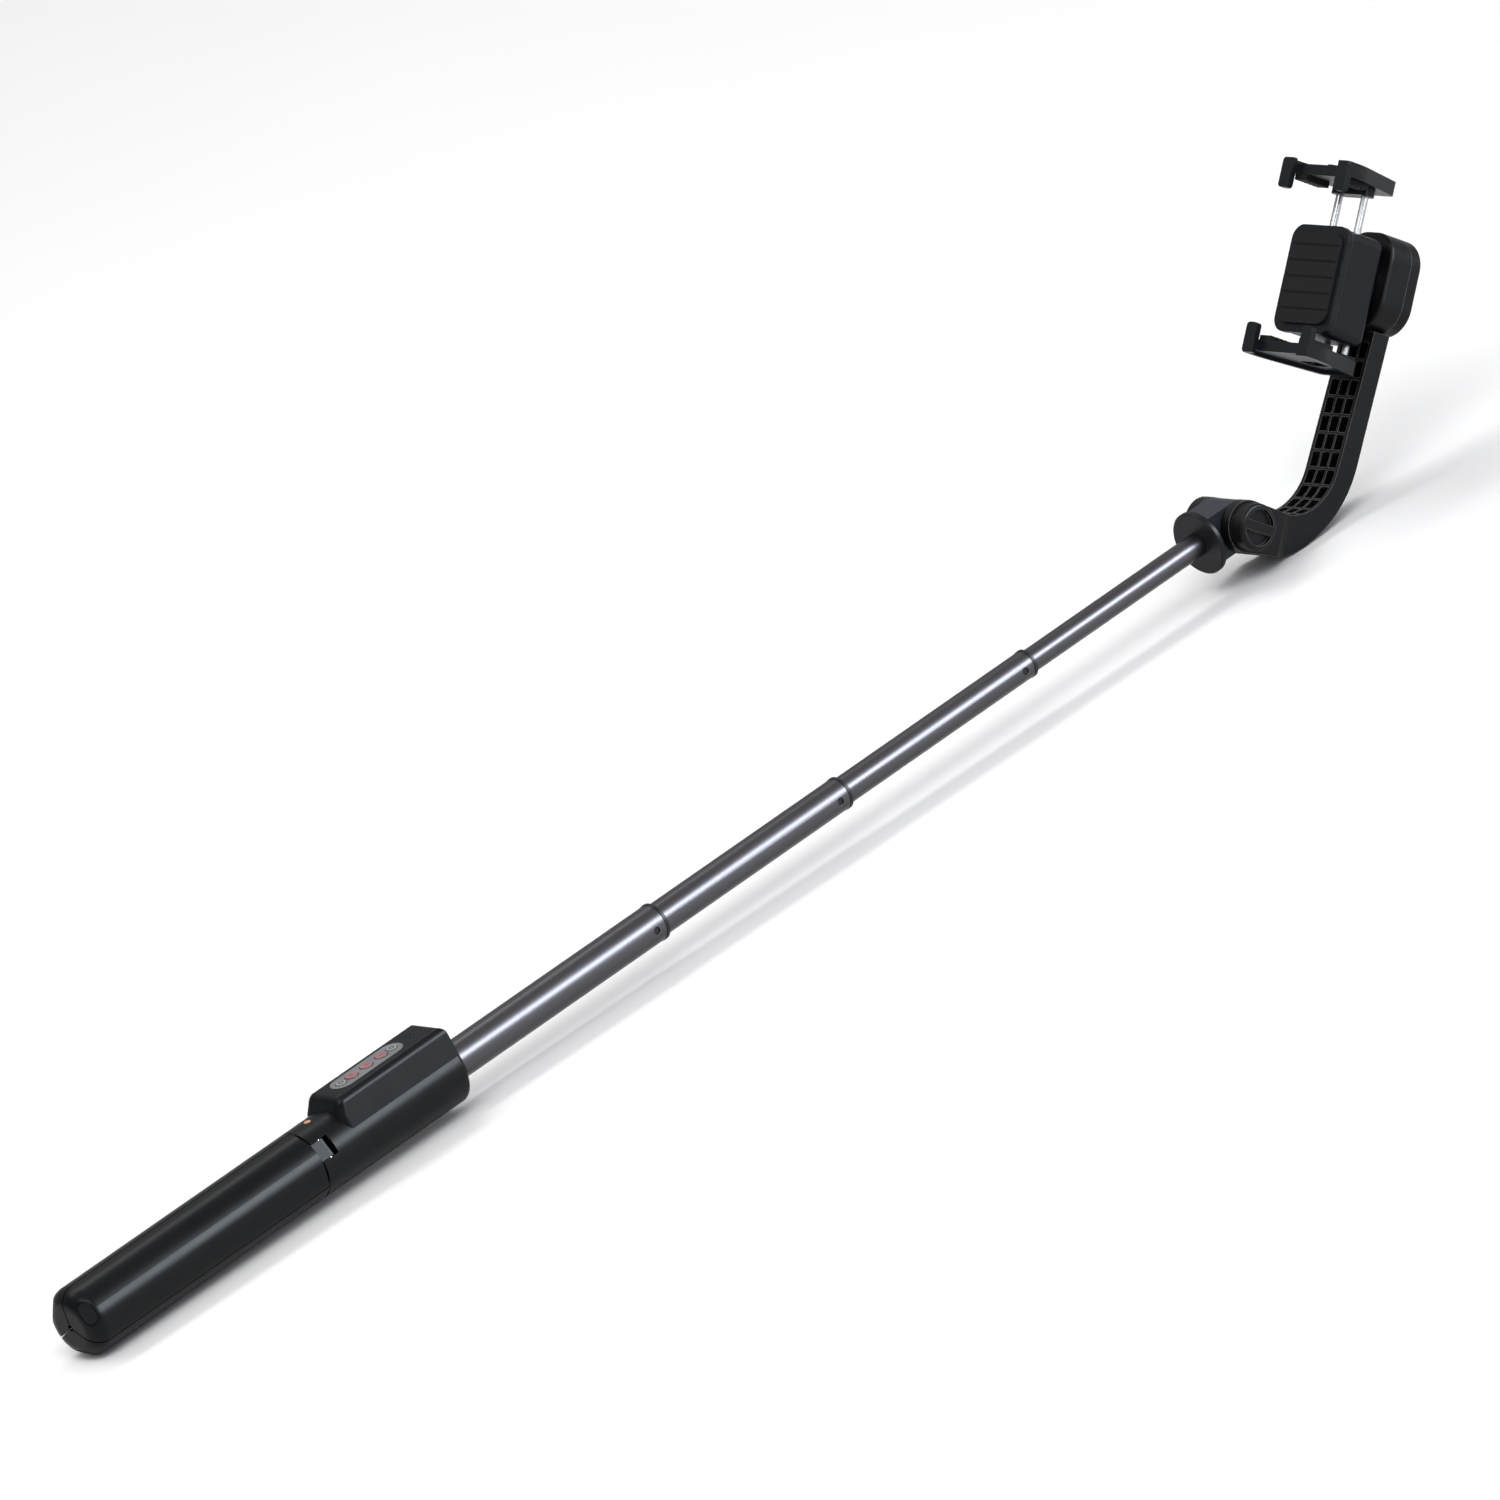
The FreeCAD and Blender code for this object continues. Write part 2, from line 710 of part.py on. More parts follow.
def make_tilt_hinge():
    bolt = fused([along_y(bolt_radius, knob_end + bolt_from_knob_end, fork_outer - bolt_head_depth),
                  hexagon(bolt_head_across, fork_outer - bolt_head_depth, fork_outer - bolt_head_sunk)])
    nodes["tilt_bolt"] = to_head(bolt)
    washers = []
    for side in (-1, 1):
        near = side * (block_half_width + washer_gap)
        far = near + side * washer_thickness
        washer = along_y(washer_radius, min(near, far), max(near, far))
        washers.append(washer.cut(along_y(bolt_radius + fixed_gap, knob_end, fork_outer)))
    nodes["friction_washers"] = to_head(Part.makeCompound(washers))
    base = along_y(knob_radius, knob_end, knob_start)
    base = soften(base, knob_rounding, lambda edge: edge.BoundBox.YMax < knob_end + 0.01)
    base = base.cut(along_y(knob_radius - knob_rim, knob_end - 1, knob_end + knob_recess))
    bar = box(-knob_radius, knob_radius, knob_end, knob_end + knob_recess + 1, -knob_bar_half, knob_bar_half)
    bar = bar.common(along_y(knob_radius - knob_rim + 0.5, knob_end, knob_start))
    nut = hexagon(nut_across, knob_start - nut_depth, knob_start - nut_sunk)
    nut_room = hexagon(nut_across + fixed_gap, knob_start - nut_depth - fixed_gap, knob_start + 1)
    knob = fused([base, bar]).cut(nut_room)
    bolt_room = along_y(bolt_radius + running_gap, knob_end + bolt_from_knob_end - 4 * fixed_gap, 0)
    nodes["tilt_knob"] = to_head(knob.cut(bolt_room))
    nodes["knob_nut"] = to_head(nut.cut(bolt_room))


make_tilt_hinge()


# ---- gimbal arm ----
ear_radius = barrel_radius + ear_proud
bridge = barrel_radius + bridge_gap
cheek_end = bridge + cheek_length
cell_start = bridge + cell_start_wall
cell_end = case_bottom - cell_end_wall
arm_profile = [(bridge, arm_root_low, 0)] + arm_outer_bends
arm_profile += [(arm_outer_top, case_bottom, 0), (arm_inner_top, case_bottom, 0)]
arm_profile += arm_inner_bends + [(bridge, arm_root_high, 0)]


def make_arm():
    body = prism_xz(arm_profile, -arm_half_width, arm_half_width)
    ears = []
    for side in (-1, 1):
        y0 = min(side * fork_inner, side * fork_outer)
        y1 = max(side * fork_inner, side * fork_outer)
        ear = along_y(ear_radius, y0, y1)
        web = prism_xz([(0, -ear_radius, 0), (cheek_end, cheek_low, 0), (cheek_end, cheek_high, 0),
                        (0, ear_radius, 0)], y0, y1)
        ears.append(fused([ear, web]))
    cheek = prism_xz([(bridge, arm_root_low, 0), (cheek_end, cheek_low, 0), (cheek_end, cheek_high, 0),
                      (bridge, cheek_high, 0)], -fork_outer, fork_outer)
    arm = fused([body, cheek] + ears)
    shoulder = prism_xy([(cheek_end - cheek_taper, -fork_outer - 1, 0), (cheek_end + 1, -fork_outer - 1, 0),
                         (cheek_end + 1, -arm_half_width, 0)], -2 * ear_radius, 2 * ear_radius)
    mirrored = shoulder.mirror(V(0, 0, 0), Y_AXIS)
    arm = arm.cut(shoulder).cut(mirrored)
    arm = arm.cut(rib_voids())
    arm = fused([arm, tongue_shape(0)])
    recess = block_half_width + washer_gap + washer_thickness + fixed_gap
    arm = arm.cut(along_y(washer_radius + fixed_gap, -recess, recess))
    arm = arm.cut(along_y(bolt_radius + fixed_gap, -fork_outer - 1, fork_outer + 1))
    head_start = fork_outer - bolt_head_depth - fixed_gap
    return arm.cut(hexagon(bolt_head_across + fixed_gap, head_start, fork_outer + 1))


def tongue_shape(gap):
    """Tongue of the arm that the motor case closes round."""
    half = tongue_half_width + gap
    return box(arm_inner_top + tongue_inset - gap, arm_outer_top - tongue_inset + gap, -half, half,
               case_bottom - 1, case_bottom + tongue_length + gap)


def rib_voids():
    """Pockets of the arm's inner face: three lanes, crossed by ribs square to the arm."""
    lane = (2 * arm_half_width - 2 * arm_wall - 2 * rib_thickness) / 3
    lanes = []
    for i in range(3):
        y0 = -arm_half_width + arm_wall + i * (lane + rib_thickness)
        inside = prism_xz(arm_profile, y0, y0 + lane)
        inside.translate(V(-arm_floor, 0, arm_floor))
        lanes.append(inside.common(box(cell_start, arm_outer_top, y0, y0 + lane, -30, cell_end)))
    spine = Part.BSplineCurve()
    bends = [V(x, 0, z) for x, z in spine_bends]
    spine.interpolate([V(cell_start, 0, spine_start)] + bends + [V(spine_end, 0, cell_end)])
    cells = int(spine.length() / rib_pitch)
    places = spine.discretize(Number=cells + 1)
    ribs = []
    for i in range(1, cells):
        along = places[i + 1] - places[i - 1]
        rib = box(-rib_thickness / 2, rib_thickness / 2, -arm_half_width, arm_half_width, -20, 20)
        rib.rotate(V(0, 0, 0), Y_AXIS, math.degrees(math.atan2(-along.z, along.x)))
        rib.translate(places[i])
        ribs.append(rib)
    return Part.makeCompound(lanes).cut(Part.makeCompound(ribs))


nodes["gimbal_arm"] = to_head(make_arm())


# ---- motor case on the arm's top ----
case_outline = rectangle(-case_half_width, case_half_width, case_bottom, case_top, case_corner)
case_inside = rectangle(-case_half_width + case_wall, case_half_width - case_wall,
                        case_bottom + case_wall, case_top - case_wall, case_corner - case_wall)
button_up = case_top - power_below_top
port_bottom = case_top - port_length
port_depth = case_split + port_from_split
board_depth = case_split + board_from_split
boss_radius = bearing_radius + boss_wall


def along_b(radius, up, side, b0, b1):
    return cylinder(radius, V(b0, side, up), X_AXIS, b1 - b0)


def screw_places():
    heights = (case_bottom + post_inset, case_top - post_inset)
    return [(side, up) for side in (-post_side, post_side) for up in heights]


def port_shape(gap):
    half = port_half_width + gap
    return box(port_depth - gap, port_depth + port_thickness + gap, -half, half, port_bottom,
               case_top - port_sunk + gap)


def make_case():
    tongue_hole = tongue_shape(fixed_gap)
    front = prism_yz(case_outline, case_front, case_split)
    front = soften(front, case_front_rounding, lambda edge: edge.BoundBox.XMax < case_front + 0.01)
    front = front.cut(prism_yz(case_inside, case_front + case_wall, case_split + 1))
    boss = along_b(boss_radius, roll_height, 0, case_front + 0.5, case_front + boss_length)
    posts = [along_b(post_radius, up, side, case_front + 1, case_split) for side, up in screw_places()]
    front = fused([front, boss] + posts)
    bite_start = case_split - case_screw_length
    for side, up in screw_places():
        front = front.cut(along_b(case_screw_radius, up, side, bite_start, case_split + 1))
    race_start = case_front + bearing_inset
    front = front.cut(along_b(bearing_radius + press_gap, roll_height, 0, race_start, case_split))
    front = front.cut(along_b(shaft_radius + free_gap, roll_height, 0, case_front - 1, case_split))
    nodes["motor_case"] = to_head(front.cut(tongue_hole))
    cover = prism_yz(case_outline, case_split, case_back)
    cover = soften(cover, case_back_rounding, lambda edge: edge.BoundBox.XMin > case_back - 0.01)
    cover = cover.cut(prism_yz(case_inside, case_split - 1, case_back - case_wall))
    posts = [along_b(post_radius, up, side, case_split, case_back - 1) for side, up in screw_places()]
    mouth = port_shape(0).translated(V(0, 0, port_length / 2))
    cover = fused([cover] + posts).cut(port_shape(fixed_gap)).cut(mouth)
    cap_end = case_back - screw_cap_sunk
    cap_start = cap_end - screw_cap_depth
    screws = []
    for side, up in screw_places():
        cover = cover.cut(along_b(case_screw_radius + fixed_gap, up, side, case_split - 1, case_back + 1))
        cover = cover.cut(along_b(screw_cap_radius + fixed_gap, up, side, cap_start, case_back + 1))
        cap = along_b(screw_cap_radius, up, side, cap_start, cap_end)
        for across, tall in ((cross_half_length, cross_half_width), (cross_half_width, cross_half_length)):
            cross = box(cap_end - cross_depth, case_back, side - across, side + across, up - tall, up + tall)
            cap = cap.cut(cross)
        screws.append(fused([along_b(case_screw_radius, up, side, bite_start, cap_start), cap]))
    cover = cover.cut(along_b(power_hole_radius, button_up, 0, case_split - 1, case_back + 1))
    nodes["motor_cover"] = to_head(cover.cut(tongue_hole))
    nodes["case_screws"] = to_head(Part.makeCompound(screws))


def make_case_inside():
    """Charging port, board, battery and power button behind the motor."""
    plug_half = port_half_width - port_wall
    plug_room = box(port_depth + port_wall, port_depth + port_thickness - port_wall, -plug_half, plug_half,
                    port_bottom + port_back_wall, case_top + 1)
    nodes["charge_port"] = to_head(port_shape(0).cut(plug_room))
    board = box(board_depth, board_depth + board_thickness, -gimbal_board_half_width, gimbal_board_half_width,
                case_bottom + gimbal_board_inset, case_top - case_wall - 1)
    nodes["gimbal_board"] = to_head(board)
    battery_start = case_bottom + gimbal_board_inset + 1
    battery = box(board_depth + board_thickness + 0.1, case_back - case_wall - 0.2,
                  -gimbal_battery_half_width, gimbal_battery_half_width,
                  battery_start, battery_start + gimbal_battery_length)
    nodes["gimbal_battery"] = to_head(battery)
    power_start = board_depth + power_depth
    cap = along_b(power_radius, button_up, 0, power_start, case_back + power_proud)
    cap = soften(cap, 0.8 * power_proud, lambda edge: edge.BoundBox.XMin > case_back + 0.8 * power_proud)
    flange = along_b(power_flange_radius, button_up, 0, power_start, power_start + power_flange)
    nodes["power_button"] = to_head(fused([cap, flange]))


def make_motor():
    rotor_start = case_front + case_wall + rotor_gap
    rotor_end = case_split - rotor_from_split
    core = along_b(core_radius, roll_height, 0, rotor_start + rotor_gap, rotor_end - rotor_back - fixed_gap)
    for i in range(core_slots):
        slot = box(rotor_start, rotor_end, -core_slot_half, core_slot_half, core_slot_depth, core_radius + 1)
        slot.rotate(V(0, 0, 0), X_AXIS, 360.0 / core_slots * i)
        slot.translate(V(0, 0, roll_height))
        core = core.cut(slot)
    core = core.cut(along_b(boss_radius + fixed_gap, roll_height, 0, rotor_start, rotor_end))
    nodes["motor_stator"] = to_head(core)
    cup = along_b(rotor_radius, roll_height, 0, rotor_start, rotor_end)
    cup = cup.cut(along_b(rotor_radius - rotor_wall, roll_height, 0, rotor_start - 1, rotor_end - rotor_back))
    nodes["motor_rotor"] = to_head(cup.cut(along_b(shaft_radius, roll_height, 0, rotor_start, case_split)))
    flange = along_b(shaft_flange_radius, roll_height, 0, base_back, case_front - shaft_flange_gap)
    shaft = along_b(shaft_radius, roll_height, 0, base_back - shaft_bite, rotor_end)
    nodes["roll_shaft"] = to_head(fused([flange, shaft]))
    bearings = []
    for start in (case_front + bearing_inset, case_front + bearing_inset + bearing_pitch):
        race = along_b(bearing_radius, roll_height, 0, start, start + bearing_width)
        bore = along_b(shaft_radius + press_gap, roll_height, 0, start - 1, start + bearing_pitch)
        bearings.append(race.cut(bore))
    nodes["roll_bearings"] = to_head(Part.makeCompound(bearings))


make_case()
make_case_inside()
make_motor()


# ---- phone clamp ----
def up_rod(radius, depth, side, u0, u1):
    return cylinder(radius, V(depth, side, u0), Z_AXIS, u1 - u0)


def both_sides(radius, depth, side, u0, u1):
    return Part.makeCompound([up_rod(radius, depth, s * side, u0, u1) for s in (-1, 1)])


def make_base():
    block = prism_yz(rectangle(-base_half_width, base_half_width, base_bottom, base_top, base_corner),
                     base_front + base_plate - 1, base_back)
    block = soften(block, base_rounding, lambda edge: edge.BoundBox.XMin > base_back - 0.01)
    plate = prism_yz(rectangle(-base_plate_half_width, base_plate_half_width, base_bottom, base_top,
                               base_plate_corner), base_front, base_front + base_plate)
    plate_back = base_front + base_plate
    plate = soften(plate, base_plate_rounding, lambda edge: edge.BoundBox.XMin > plate_back - 0.01)
    recess = pad_outline(fixed_gap * 2)
    base = fused([block, plate]).cut(prism_yz(recess, base_front - 1, base_front + pad_sunk))
    base = base.cut(both_sides(guide_rod_radius + running_gap, guide_rod_depth, guide_rod_side,
                               base_bottom + 1, base_top + 1))
    base = base.cut(both_sides(spring_room_radius, guide_rod_depth, guide_rod_side, spring_low, spring_high))
    base = base.cut(both_sides(jaw_rod_radius, jaw_rod_depth, jaw_rod_side,
                               base_bottom - 1, jaw_rod_high + 1))
    return base.cut(along_b(shaft_radius, roll_height, 0, base_back - shaft_bite, base_back + 1))


def pad_outline(gap):
    half = pad_half_width + gap
    return rectangle(-half, half, base_bottom + pad_inset - gap, base_top - pad_inset + gap, pad_corner + gap)


def make_back_pad():
    """Grooved rubber pad that the phone's back lies on."""
    pad = prism_yz(pad_outline(0), phone_back, base_front + pad_sunk)
    first = base_bottom + pad_inset + (pad_groove_pitch + pad_groove_width) / 2 + pad_groove_margin
    for i in range(pad_grooves):
        up = first + i * pad_groove_pitch
        groove = box(phone_back - 1, phone_back + pad_groove_depth, -base_plate_half_width,
                     base_plate_half_width, up, up + pad_groove_width)
        pad = pad.cut(groove)
    return pad


def jaw_outline(inset):
    """Jaw seen from above: wide at the fingers, curving in towards the back."""
    front = jaw_front + inset
    shoulder = front + jaw_shoulder
    half = jaw_half_width - inset
    rear = jaw_rear_half_width - inset
    back = jaw_back - inset
    bend = jaw_side_bend - inset
    return [(front, -half, jaw_front_corner), (shoulder, -half, bend), (back, -rear, jaw_back_corner),
            (back, rear, jaw_back_corner), (shoulder, half, bend), (front, half, jaw_front_corner)]


def jaw_shell(low, high, pocket_low, pocket_high):
    """Jaw plate with a rim left by a pocket in its outer face, set back between the fingers."""
    half = jaw_half_width - finger_width - free_gap
    gap = box(0, phone_front + jaw_gap_setback, -half, half, low - 1, high + 1)
    pocket = prism_xy(jaw_outline(rim_width), pocket_low, pocket_high)
    return prism_xy(jaw_outline(0), low, high).cut(pocket).cut(gap)


def jaw_fingers(low, high):
    fingers = []
    for side in (-1, 1):
        y0 = min(side * jaw_half_width, side * (jaw_half_width - finger_width))
        outline = rectangle(y0, y0 + finger_width, low, high, finger_corner)
        fingers.append(prism_yz(outline, jaw_front, phone_front))
    return fingers


def make_lower_jaw():
    """Fixed jaw, held under the base by two short rods."""
    rim_low = lower_plate_bottom - rim_height
    plate = jaw_shell(rim_low, lower_plate_top, rim_low - 1, lower_plate_bottom)
    window = rectangle(jaw_window_front, jaw_back - jaw_window_from_back, -jaw_window_half, jaw_window_half,
                       jaw_front_corner)
    plate = plate.cut(prism_xy(window, rim_low - 1, lower_plate_top + 1))
    post_half = jaw_rear_half_width - 0.5
    post = rectangle(jaw_back - jaw_post_length, jaw_back, -post_half, post_half, jaw_back_corner - 0.5)
    post = prism_xy(post, lower_plate_bottom, lower_plate_bottom + jaw_post_height)
    jaw = fused([plate, post] + jaw_fingers(rim_low, lower_plate_bottom + finger_height))
    rods = both_sides(jaw_rod_radius, jaw_rod_depth, jaw_rod_side,
                      lower_plate_bottom + rod_cover, jaw_rod_high)
    nodes["lower_jaw"] = to_head(jaw.cut(rods))
    nodes["jaw_rods"] = to_head(rods)


def make_upper_jaw():
    """Sprung jaw, carried by two guide rods that slide in the base."""
    rim_high = upper_plate_top + rim_height
    plate = jaw_shell(upper_plate_bottom, rim_high, upper_plate_top, rim_high + 1)
    ridge = prism_xy(rectangle(phone_front + ridge_front_gap, jaw_back - ridge_back_gap, -ridge_half_width,
                               ridge_half_width, ridge_corner),
                     upper_plate_top - 1, upper_plate_top + ridge_height)
    post = rectangle(guide_rod_depth - upper_post_half_length, guide_rod_depth + upper_post_half_length,
                     -upper_post_half_width, upper_post_half_width, post_corner)
    post = prism_xy(post, upper_plate_bottom - upper_post_drop, upper_plate_bottom + 1)
    jaw = fused([plate, ridge, post] + jaw_fingers(upper_plate_top - finger_height, rim_high))
    rods = both_sides(guide_rod_radius, guide_rod_depth, guide_rod_side, guide_rod_low,
                      upper_plate_top - rod_cover)
    nodes["upper_jaw"] = to_head(jaw.cut(rods))
    nodes["guide_rods"] = to_head(rods)


def make_springs():
    """Ribbed sleeves in the outline of the close-wound springs round the guide rods."""
    low = spring_low + spring_end_gap
    high = spring_high - spring_end_gap
    coils = int((high - low - 1) / coil_pitch)
    springs = []
    for side in (-guide_rod_side, guide_rod_side):
        spring = up_rod(coil_radius + spring_sleeve / 2, guide_rod_depth, side, low, high)
        for i in range(coils):
            place = V(guide_rod_depth, side, low + coil_start + i * coil_pitch)
            spring = spring.fuse(Part.makeTorus(coil_radius, wire_radius, place, Z_AXIS))
        bore = up_rod(coil_radius - spring_sleeve, guide_rod_depth, side, low - 1, high + 1)
        springs.append(spring.cut(bore))
    nodes["clamp_springs"] = to_head(Part.makeCompound(springs))


def make_jaw_pad(low, bite):
    """Two rubber strips beside the fingers, grooved across the face that bites the phone."""
    strips = []
    for y0, y1 in ((-strip_outer, -strip_inner), (strip_inner, strip_outer)):
        strip = box(strip_start, strip_end, y0, y1, low, low + jaw_pad)
        for i in range(strip_grooves):
            x = strip_start + strip_pitch * (i + 0.8)
            strip = strip.cut(box(x, x + strip_groove_width, -jaw_half_width, jaw_half_width,
                                  bite - strip_groove_depth, bite + strip_groove_depth))
        strips.append(strip)
    return to_head(Part.makeCompound(strips))


nodes["clamp_base"] = to_head(make_base())
nodes["back_pad"] = to_head(make_back_pad())
nodes["lower_jaw_pad"] = make_jaw_pad(lower_plate_top, phone_low)
nodes["upper_jaw_pad"] = make_jaw_pad(phone_high, phone_high)
make_lower_jaw()
make_upper_jaw()
make_springs()


# ---- files ----
os.makedirs("parts", exist_ok=True)
for name, shape in nodes.items():
    shape.exportStep(os.path.join("parts", name + ".step"))
    if not shape.isValid():
        print("not valid:", name)
print(len(nodes), "nodes")
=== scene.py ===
import json
import math

import bmesh
import bpy
from mathutils import Matrix, Vector


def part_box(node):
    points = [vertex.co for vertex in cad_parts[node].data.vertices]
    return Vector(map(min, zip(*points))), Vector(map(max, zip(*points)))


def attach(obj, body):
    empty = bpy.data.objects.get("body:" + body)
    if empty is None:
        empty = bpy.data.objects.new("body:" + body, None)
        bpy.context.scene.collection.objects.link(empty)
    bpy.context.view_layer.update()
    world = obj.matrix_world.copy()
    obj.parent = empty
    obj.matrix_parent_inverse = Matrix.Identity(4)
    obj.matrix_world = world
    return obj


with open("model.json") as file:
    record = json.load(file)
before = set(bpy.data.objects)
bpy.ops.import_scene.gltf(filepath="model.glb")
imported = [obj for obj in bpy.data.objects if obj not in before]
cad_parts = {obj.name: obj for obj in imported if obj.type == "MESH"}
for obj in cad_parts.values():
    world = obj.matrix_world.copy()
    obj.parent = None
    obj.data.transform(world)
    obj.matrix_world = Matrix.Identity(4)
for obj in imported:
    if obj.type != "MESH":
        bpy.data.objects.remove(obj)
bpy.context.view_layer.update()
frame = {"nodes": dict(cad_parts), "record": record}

# Looks for the telescopic selfie stick. Everything is in metres, in the CAD frame: it lies on its back,
# +X up the pole, +Z towards the buttons, -Y towards the thumb knob.

MM = 0.001

# marks on the controls, and the painted shade band round the control panel
MARK_SINK = 0.05 * MM
RING_OUTER = 1.35 * MM
RING_INNER = 0.85 * MM
RING_HEIGHT = 0.12 * MM
DOT_RADIUS = 0.8 * MM
DOT_HEIGHT = 0.3 * MM
GAP_SHADE_OUTER_MARGIN = 0.5 * MM
GAP_SHADE_INNER_MARGIN = 0.02 * MM
GAP_SHADE_BELOW_BEZEL = 0.15 * MM
GAP_SHADE_SUNK = 0.1 * MM
GAP_SHADE_PROUD = 0.05 * MM

# stage, light and camera
ARM_REST_BEYOND_LOW = 34 * MM
FLOOR_GAP = 0.4 * MM
FLOOR_HALF = 12.0
LIGHT_TARGET = (0.4, 0, 0)
SKY_STRENGTH = 0.72
CAMERA_AZIMUTH = -36.75
CAMERA_ELEVATION = 20.84
CAMERA_ROLL = 19.77
CAMERA_LENS = 450.7
CAMERA_AIM = (0.4236, -0.0316, 0.0583)
CAMERA_DISTANCE = 8.4


# ---- materials ----
def new_material(name):
    material = bpy.data.materials.new(name)
    material.use_nodes = True
    nodes = material.node_tree.nodes
    return material, nodes, material.node_tree.links, nodes["Principled BSDF"]


def place_vector(nodes, links, stretch):
    """Object coordinates in metres, squeezed along each axis for streaks."""
    coordinates = nodes.new("ShaderNodeTexCoord")
    mapping = nodes.new("ShaderNodeMapping")
    mapping.inputs["Scale"].default_value = stretch
    links.new(coordinates.outputs["Object"], mapping.inputs["Vector"])
    return mapping.outputs["Vector"]


def noise(nodes, links, vector, scale, detail=3.0):
    texture = nodes.new("ShaderNodeTexNoise")
    texture.inputs["Scale"].default_value = scale
    texture.inputs["Detail"].default_value = detail
    links.new(vector, texture.inputs["Vector"])
    return texture.outputs["Fac"]


def to_range(nodes, links, value, low, high, start=0.3, stop=0.7):
    mapped = nodes.new("ShaderNodeMapRange")
    mapped.inputs["From Min"].default_value = start
    mapped.inputs["From Max"].default_value = stop
    mapped.inputs["To Min"].default_value = low
    mapped.inputs["To Max"].default_value = high
    links.new(value, mapped.inputs["Value"])
    return mapped.outputs["Result"]


def edge_mask(nodes, links, radius):
    """0 on flats and 1 on the very edge, from how far a rounded normal leans from the real one; the mask
    places the painted edge highlight.
    """
    bevel = nodes.new("ShaderNodeBevel")
    bevel.samples = 4
    bevel.inputs["Radius"].default_value = radius
    geometry = nodes.new("ShaderNodeNewGeometry")
    dot = nodes.new("ShaderNodeVectorMath")
    dot.operation = "DOT_PRODUCT"
    links.new(bevel.outputs["Normal"], dot.inputs[0])
    links.new(geometry.outputs["Normal"], dot.inputs[1])
    return bevel.outputs["Normal"], to_range(nodes, links, dot.outputs["Value"], 1.0, 0.0, 0.72, 0.99)


def blend_colours(nodes, links, factor, first, second):
    mix = nodes.new("ShaderNodeMix")
    mix.data_type = "RGBA"
    from_colour, to_colour = mix.inputs[6], mix.inputs[7]
    to_colour.default_value = second
    if isinstance(first, tuple):
        from_colour.default_value = first
    else:
        links.new(first, from_colour)
    links.new(factor, mix.inputs[0])
    return mix.outputs[2]


def solid(name, colour, rough, metal=0.0, grain=900.0, depth=0.02, spread=0.25, rough_spread=0.08,
          edge=0.25 * MM, edge_highlight_colour=None, edge_highlight_amount=0.5, stretch=(1, 1, 1), coat=0.0,
          gleam=0.4):
    """A moulded or metal surface: mottled colour, uneven gloss, fine grain, softened edges and a painted
    highlight that lightens the edges.

    grain is the noise's scale, depth the bump in mm, gleam the strength of the reflection, and the edge
    colour and amount the colour and strength of the painted edge highlight."""
    material, nodes, links, shader = new_material(name)
    vector = place_vector(nodes, links, stretch)
    fine = noise(nodes, links, vector, grain)
    broad = noise(nodes, links, vector, grain / 25, 4.0)
    dark = tuple(c * (1 - spread) for c in colour) + (1,)
    light = tuple(min(1.0, c * (1 + spread)) for c in colour) + (1,)
    tone = blend_colours(nodes, links, to_range(nodes, links, broad, 0.0, 1.0), dark, light)
    rounded, edge_highlight_mask = edge_mask(nodes, links, edge)
    # Painted highlight: the colour is lightened along the edges, standing in for the gleam the edges catch.
    if edge_highlight_colour:
        scaled = nodes.new("ShaderNodeMath")
        scaled.operation = "MULTIPLY"
        scaled.inputs[1].default_value = edge_highlight_amount
        links.new(edge_highlight_mask, scaled.inputs[0])
        tone = blend_colours(nodes, links, scaled.outputs["Value"], tone, edge_highlight_colour + (1,))
    links.new(tone, shader.inputs["Base Color"])
    roughness = to_range(nodes, links, broad, rough - rough_spread, rough + rough_spread)
    links.new(roughness, shader.inputs["Roughness"])
    bump = nodes.new("ShaderNodeBump")
    bump.inputs["Strength"].default_value = 0.6
    bump.inputs["Distance"].default_value = depth * MM
    links.new(fine, bump.inputs["Height"])
    links.new(rounded, bump.inputs["Normal"])
    links.new(bump.outputs["Normal"], shader.inputs["Normal"])
    shader.inputs["Metallic"].default_value = metal
    shader.inputs["Specular IOR Level"].default_value = gleam
    shader.inputs["Coat Weight"].default_value = coat
    return material


def ribbed_rubber(name, colour):
    """Matt rubber with a fine checker of pips."""
    # Its edge colour is a faint painted highlight along the rubber's edges.
    material = solid(name, colour, 0.7, grain=1600, depth=0.02, gleam=0.15, edge_highlight_colour=(0.05, 0.05, 0.055))
    nodes = material.node_tree.nodes
    links = material.node_tree.links
    vector = place_vector(nodes, links, (1, 1, 1))
    pips = nodes.new("ShaderNodeTexVoronoi")
    pips.inputs["Scale"].default_value = 800
    pips.inputs["Randomness"].default_value = 0.0
    links.new(vector, pips.inputs["Vector"])
    bump = nodes.new("ShaderNodeBump")
    bump.inputs["Strength"].default_value = 0.5
    bump.inputs["Distance"].default_value = 0.1 * MM
    bump.invert = True
    links.new(pips.outputs["Distance"], bump.inputs["Height"])
    shader = nodes["Principled BSDF"]
    links.new(shader.inputs["Normal"].links[0].from_socket, bump.inputs["Normal"])
    links.new(bump.outputs["Normal"], shader.inputs["Normal"])
    return material


